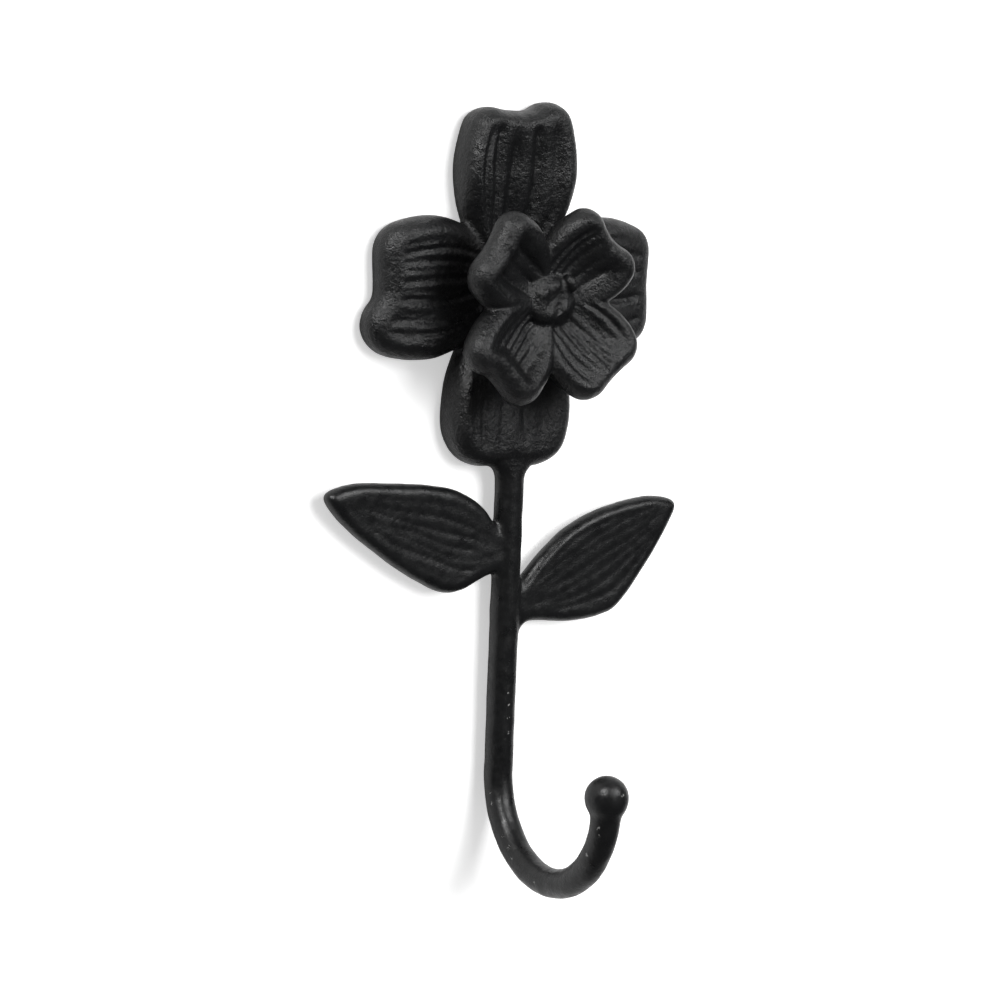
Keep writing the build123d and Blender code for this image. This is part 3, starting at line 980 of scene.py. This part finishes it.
@dataclass(frozen=True)
class Keyhole:
    """Keyhole in the back: an entry and a slot through the lip, and room for the screw's head behind it."""

    height: float = -5.0
    entry: float = 9.5
    slot: float = 5.0
    travel: float = 7.5
    lip: float = 2.2
    depth: float = 5.4
    proud: float = 1.0  # by which the cutters stand out of the back
    lap: float = 0.1  # by which entry and slot run into the room for the head
    places: int = 64  # round a cutter

    def prism(self, width: float, travel: float, start: float, end: float) -> Shell:
        """A round-ended bar through the iron: two half circles, one travel apart, carried from start to end.

        Args:
            width: of the bar.
            travel: between the half circles.
            start: first depth.
            end: last depth.

        Returns:
            The closed shell.
        """
        angle = round_angle(self.places) + pi / self.places
        across = 0.5 * width * np.cos(angle)
        up = 0.5 * width * np.sin(angle) + np.where(np.sin(angle) > 0.0, travel, 0.0) + self.height
        level = np.ones(self.places)
        rings = np.stack([np.stack([across, -depth * level, up], axis=-1) for depth in (start, end)])
        return closed_grid(rings, rings[0].mean(axis=0), rings[1].mean(axis=0))

    def cutters(self) -> list[Shell]:
        """The bars that are taken out of the iron.

        Returns:
            The entry, the slot and the room for the head.
        """
        through = self.lip + self.lap
        return [
            self.prism(self.entry, 0.0, -self.proud, through),
            self.prism(self.slot, self.travel, -self.proud, through),
            self.prism(self.entry, self.travel, self.lip, self.depth),
        ]

    def cut(self, piece: Object) -> None:
        """Takes the cutters out of a piece, one after another.

        Args:
            piece: the piece, whose mesh is replaced.
        """
        for number, shell in enumerate(self.cutters()):
            tool = shell.raised(f"keyhole_cutter_{number}")
            step = piece.modifiers.new("keyhole", "BOOLEAN")
            step.operation = "DIFFERENCE"
            step.solver = "MANIFOLD"
            step.object = tool
            mesh = Casting.baked(piece)
            piece.modifiers.clear()
            old, piece.data = piece.data, mesh
            mesh.name = piece.name
            discard(tool)
            bpy.data.meshes.remove(old)


@dataclass
class FlowerAndStem(Casting):
    """Large flower, stem, leaves, hook and ball."""

    hub_radii: tuple = (6.0, 12.0, 12.0, 10.8, 5.4)  # from the back to the front
    hub_depths: tuple = (0.0, 0.0, 4.2, 5.7, 6.0)

    def build(self) -> Object:
        """Builds the skin.

        Returns:
            The finished object.
        """
        rod = Rod()
        self.shells = [petal.shell().placed(turned(petal.turn)) for petal in large_petals()]
        self.shells.append(self.hub())
        self.shells.append(rod.shell())
        for leaf in leaves():
            depth = rod.depth(leaf.height) - leaf.relief.thickness / 2
            self.shells.append(leaf.shell().placed(turned(leaf.lean, 0.0, (0.0, -depth, leaf.height))))
        corner = web()
        depth = rod.depth(corner.hollow[1]) - corner.relief.thickness / 2
        self.shells.append(corner.shell().placed(turned(0.0, 0.0, (0.0, -depth, 0.0))))
        piece = self.melt()
        self.roughen(piece)
        Keyhole().cut(piece)
        return piece

    def hub(self, places: int = 96) -> Shell:
        """A low block that fills the middle of the flower: a profile turned about the flower's axis.

        Args:
            places: number of points round a ring.

        Returns:
            The closed shell.
        """
        radius, depth = np.array(self.hub_radii)[:, None], np.array(self.hub_depths)[:, None]
        angle = round_angle(places)
        grid = np.stack([radius * np.cos(angle), -depth * np.ones(places), radius * np.sin(angle)], axis=-1)
        return closed_grid(grid, np.zeros(3), np.array([0.0, -self.hub_depths[-1], 0.0]))


@dataclass
class SmallFlower(Casting):
    """Small flower with its post, button and bud."""

    depth: float = 12.9
    across: float = 0.6
    height: float = -3.0
    cup: float = 17.0

    def build(self) -> Object:
        """Builds the skin.

        Returns:
            The finished object.
        """
        spindle = Spindle()
        centre = (self.across, -self.depth, self.height)
        self.shells = [petal.shell().placed(turned(petal.turn, self.cup, centre)) for petal in small_petals()]
        self.shells += [spindle.post(), spindle.bud()]
        piece = self.melt()
        self.roughen(piece)
        return piece


@dataclass
class Graph:
    """The nodes of a material or a world."""

    tree: bpy.types.NodeTree

    def fill(self, node: bpy.types.Node, inputs: dict) -> None:
        """Puts values, or links to sockets, into the inputs of a node.

        Args:
            node: the node.
            inputs: values and sockets, by the name or number of the input.
        """
        for name, value in inputs.items():
            if isinstance(value, Socket):
                self.tree.links.new(value, node.inputs[name])
            else:
                node.inputs[name].default_value = value

    def add(self, kind: str, inputs: dict, **settings: str) -> bpy.types.NodeOutputs:
        """Adds a node.

        Args:
            kind: the node's type, after the word ShaderNode.
            inputs: what to fill it with.
            settings: its properties, such as its operation.

        Returns:
            The node's outputs.
        """
        node = self.tree.nodes.new("ShaderNode" + kind)
        for name, value in settings.items():
            setattr(node, name, value)
        self.fill(node, inputs)
        return node.outputs

    def noise(self, scale: float, detail: float) -> Socket:
        """Returns the value of a noise texture over the object's own coordinates."""
        place = self.add("TexCoord", {})["Object"]
        return self.add("TexNoise", {"Scale": scale, "Detail": detail, "Vector": place})["Fac"]

    def noted(self, name: str) -> Socket:
        """Returns the value of a named attribute of the mesh."""
        return self.add("Attribute", {}, attribute_name=name)["Fac"]

    def spread(self, source: Socket, reach: tuple, to: tuple) -> Socket:
        """Returns the source, stretched from the two values of reach to the two values of to."""
        limits = {"From Min": reach[0], "From Max": reach[1], "To Min": to[0], "To Max": to[1]}
        return self.add("MapRange", {"Value": source, **limits})["Result"]

    def join(self, how: str, one: Socket, other: object) -> Socket:
        """Returns a value joined to another value or socket by an operation."""
        return self.add("Math", {0: one, 1: other}, operation=how)["Value"]

    def blend(self, share: Socket, one: object, other: object) -> Socket:
        """Returns two colours mixed by a share."""
        return self.add("Mix", {"Factor": share, "A": one, "B": other}, data_type="RGBA")["Result"]


WHOLE = (0.0, 1.0)


@dataclass(frozen=True)
class IronPaint:
    """Satin black paint over sand-cast iron, rubbed through in places, with a painted highlight on sharp edges.
    Noises are a scale and a detail.
    """

    name: str = "black_paint_on_cast_iron"
    dark: tuple = (0.0045, 0.0047, 0.0052, 1.0)
    # lighter paint, used for random dust and for the painted highlight on sharp edges
    dusty_and_highlit: tuple = (0.0080, 0.0084, 0.0088, 1.0)
    bare: tuple = (0.26, 0.26, 0.255, 1.0)
    roughness: tuple = (0.27, 0.47)
    specular: float = 0.42
    edge: tuple = (0.0, 0.2)  # bend from a plain place to a sharp edge
    edge_highlight: float = 0.2  # painted highlight: lightens the colour on a sharp convex edge, on top of the dust
    edge_gloss: float = 0.12  # by which the roughness falls on a sharp edge
    dust_noise: tuple = (160.0, 4.0)
    dust_and_highlight: tuple = (0.35, 0.8)  # values from clean paint to the colour of dust and of the painted edge highlight
    speck_noise: tuple = (2200.0, 3.0)
    wear: tuple = (-0.5, 0.08)  # added to the specks where the paint is whole and where it is rubbed
    specks: tuple = (0.53, 0.62)  # values from paint to bare iron
    gloss_noise: tuple = (420.0, 3.0)
    gloss: tuple = (0.3, 0.7)  # values from the glossiest to the dullest paint
    grain: tuple = ((900.0, 0.6, 0.0005), (2600.0, 0.6, 0.0003))  # scale, strength and height of the sand
    grain_detail: float = 4.0

    def material(self) -> bpy.types.Material:
        """The paint, made on first use.

        Soft noise moves the colour and the gloss, two finer noises make the sand grain, sharp edges are a
        little glossier and painted lighter as a painted highlight, and bare iron shows in specks where the
        paint is rubbed.

        Returns:
            The material.
        """
        found = bpy.data.materials.get(self.name)
        if found:
            return found
        material = bpy.data.materials.new(self.name)
        material.use_nodes = True
        graph = Graph(material.node_tree)
        edge = graph.noted("edge")
        # painted highlight: sharp convex edges get lighter paint, added to the random dust noise below
        dust_and_highlight = graph.spread(edge, self.edge, (0.0, self.edge_highlight))
        dust_and_highlight = graph.join("ADD", graph.noise(*self.dust_noise), dust_and_highlight)
        paint = graph.blend(graph.spread(dust_and_highlight, self.dust_and_highlight, WHOLE), self.dark, self.dusty_and_highlit)
        wear = graph.spread(graph.noted("wear"), WHOLE, self.wear)
        specks = graph.join("ADD", graph.noise(*self.speck_noise), wear)
        colour = graph.blend(graph.spread(specks, self.specks, WHOLE), paint, self.bare)
        gloss = graph.spread(graph.noise(*self.gloss_noise), self.gloss, self.roughness)
        sheen = graph.spread(edge, self.edge, (0.0, -self.edge_gloss))
        sand = graph.noted("grain")
        below = {}
        for scale, strength, height in self.grain:
            raised = graph.join("MULTIPLY", graph.noise(scale, self.grain_detail), sand)
            bump = {"Strength": strength, "Distance": height, "Height": raised, **below}
            below = {"Normal": graph.add("Bump", bump)["Normal"]}
        graph.fill(graph.tree.nodes["Principled BSDF"], {
            "Base Color": colour, "Roughness": graph.join("ADD", gloss, sheen),
            "Specular IOR Level": self.specular, **below,
        })
        return material


@dataclass(frozen=True)
class Lamp:
    """A square soft box, in metres and watts."""

    name: str
    at: tuple
    size: float
    power: float
    mirrored: bool  # whether it shows in glossy surfaces only, and otherwise lights dull ones only

    def hang(self, target: Vector) -> None:
        """Adds the lamp to the scene.

        Args:
            target: what it faces, in metres.
        """
        data = bpy.data.lights.new(self.name, "AREA")
        data.size = self.size
        data.energy = self.power
        lamp = shown(self.name, data)
        lamp.visible_glossy = self.mirrored
        lamp.visible_diffuse = not self.mirrored
        lamp.location = self.at
        lamp.rotation_euler = (Vector(self.at) - target).to_track_quat("Z", "Y").to_euler()


@dataclass
class Studio:
    """White wall, lamps and camera."""

    target: tuple = (0.0, -15.0, -52.0)
    azimuth: float = -33.1
    elevation: float = 6.4
    roll: float = 1.8
    distance: float = 743.0
    scale: float = 4.21  # picture elements to a millimetre at the target
    aim: tuple = (-30.6, 5.2)  # picture elements from the target to the middle of the picture
    picture: float = 1000.0
    sensor: float = 36.0
    nearest: float = 0.01  # that the camera sees, in metres
    even_light: float = 0.35  # of the studio, on what is not glossy
    mirrored_light: float = 0.07  # of the studio, in glossy surfaces
    white: tuple = (1.0, 1.0, 1.0, 1.0)
    wall_half: float = 1.5  # half the wall's side, in metres
    wall_gap: float = 0.0003  # between hook and wall, in metres
    wall_white: tuple = (0.9, 0.9, 0.9, 1.0)
    wall_glow: float = 0.45  # by which the wall is lifted for the camera alone
    lamps: tuple = (
        Lamp("key", (0.26, -1.0, 0.26), 0.6, 10.5, mirrored=False),
        Lamp("fill", (0.35, -1.0, 0.55), 0.7, 9.5, mirrored=True),
        Lamp("side", (-0.8, -0.6, 0.75), 0.32, 13.0, mirrored=True),
        Lamp("back", (0.75, 0.85, -0.25), 0.7, 7.0, mirrored=True),
    )

    def camera(self) -> None:
        """Sets the camera that the picture was taken with."""
        data = bpy.data.cameras.new("camera")
        data.sensor_width = self.sensor
        data.lens = self.sensor * self.scale * self.distance / self.picture
        data.clip_start = self.nearest
        camera = shown("camera", data)
        azimuth, elevation = radians(self.azimuth), radians(self.elevation)
        back = Vector((sin(azimuth) * cos(elevation), -cos(azimuth) * cos(elevation), sin(elevation)))
        turn = back.to_track_quat("Z", "Y").to_matrix()
        turn = turn @ Matrix.Rotation(radians(self.roll), 3, "Z")
        aim = Vector(self.target) + turn @ Vector((self.aim[0], self.aim[1], 0.0)) / self.scale
        camera.matrix_world = Matrix.Translation((aim + back * self.distance) * MM) @ turn.to_4x4()
        bpy.context.scene.camera = camera

    def wall(self) -> None:
        """Adds a white wall behind the hook, seen from the front only, which lets light to the back."""
        mesh = bpy.data.meshes.new("wall")
        half = self.wall_half
        corners = ((-half, -half), (half, -half), (half, half), (-half, half))
        mesh.from_pydata([(across, self.wall_gap, up) for across, up in corners], [], [(0, 1, 2, 3)])
        wall = shown("wall", mesh)
        wall.visible_shadow = False
        material = bpy.data.materials.new("white_wall")
        material.use_nodes = True
        graph = Graph(material.node_tree)
        graph.tree.nodes.clear()
        seen = graph.add("LightPath", {})["Is Camera Ray"]
        glow = graph.add("Emission", {"Strength": graph.join("MULTIPLY", seen, self.wall_glow)})[0]
        dull = graph.add("BsdfDiffuse", {"Color": self.wall_white})[0]
        front = graph.add("AddShader", {0: dull, 1: glow})[0]
        clear = graph.add("BsdfTransparent", {})[0]
        behind = graph.add("NewGeometry", {})["Backfacing"]
        both = graph.add("MixShader", {"Fac": behind, 1: front, 2: clear})[0]
        graph.add("OutputMaterial", {"Surface": both})
        mesh.materials.append(material)

    def world(self) -> None:
        """Fills the studio with even light, and shows white to the camera."""
        world = bpy.data.worlds.new("studio")
        world.use_nodes = True
        graph = Graph(world.node_tree)
        path = graph.add("LightPath", {})
        plain = graph.spread(path["Is Camera Ray"], WHOLE, (self.even_light, 1.0))
        light = graph.add("Mix", {"Factor": path["Is Glossy Ray"], "A": plain, "B": self.mirrored_light})
        graph.fill(graph.tree.nodes["Background"], {"Color": self.white, "Strength": light["Result"]})
        bpy.context.scene.world = world

    def build(self) -> None:
        """Sets up the whole studio."""
        bpy.context.scene.view_settings.view_transform = "Standard"
        self.world()
        self.wall()
        for lamp in self.lamps:
            lamp.hang(Vector(self.target) * MM)
        self.camera()


def main() -> None:
    """Builds the studio and the two skins of the casting, and logs their points and faces."""
    logging.basicConfig(level=logging.INFO, format="%(name)s: %(message)s")
    Studio().build()
    paint = IronPaint()
    for casting in (FlowerAndStem("flower_and_stem", 0.5), SmallFlower("small_flower", 0.34)):
        piece = casting.build()
        casting.dress(piece, paint)
        log.info("%s: %d points, %d faces", piece.name, len(piece.data.vertices), len(piece.data.polygons))


if __name__ == "__main__":
    main()
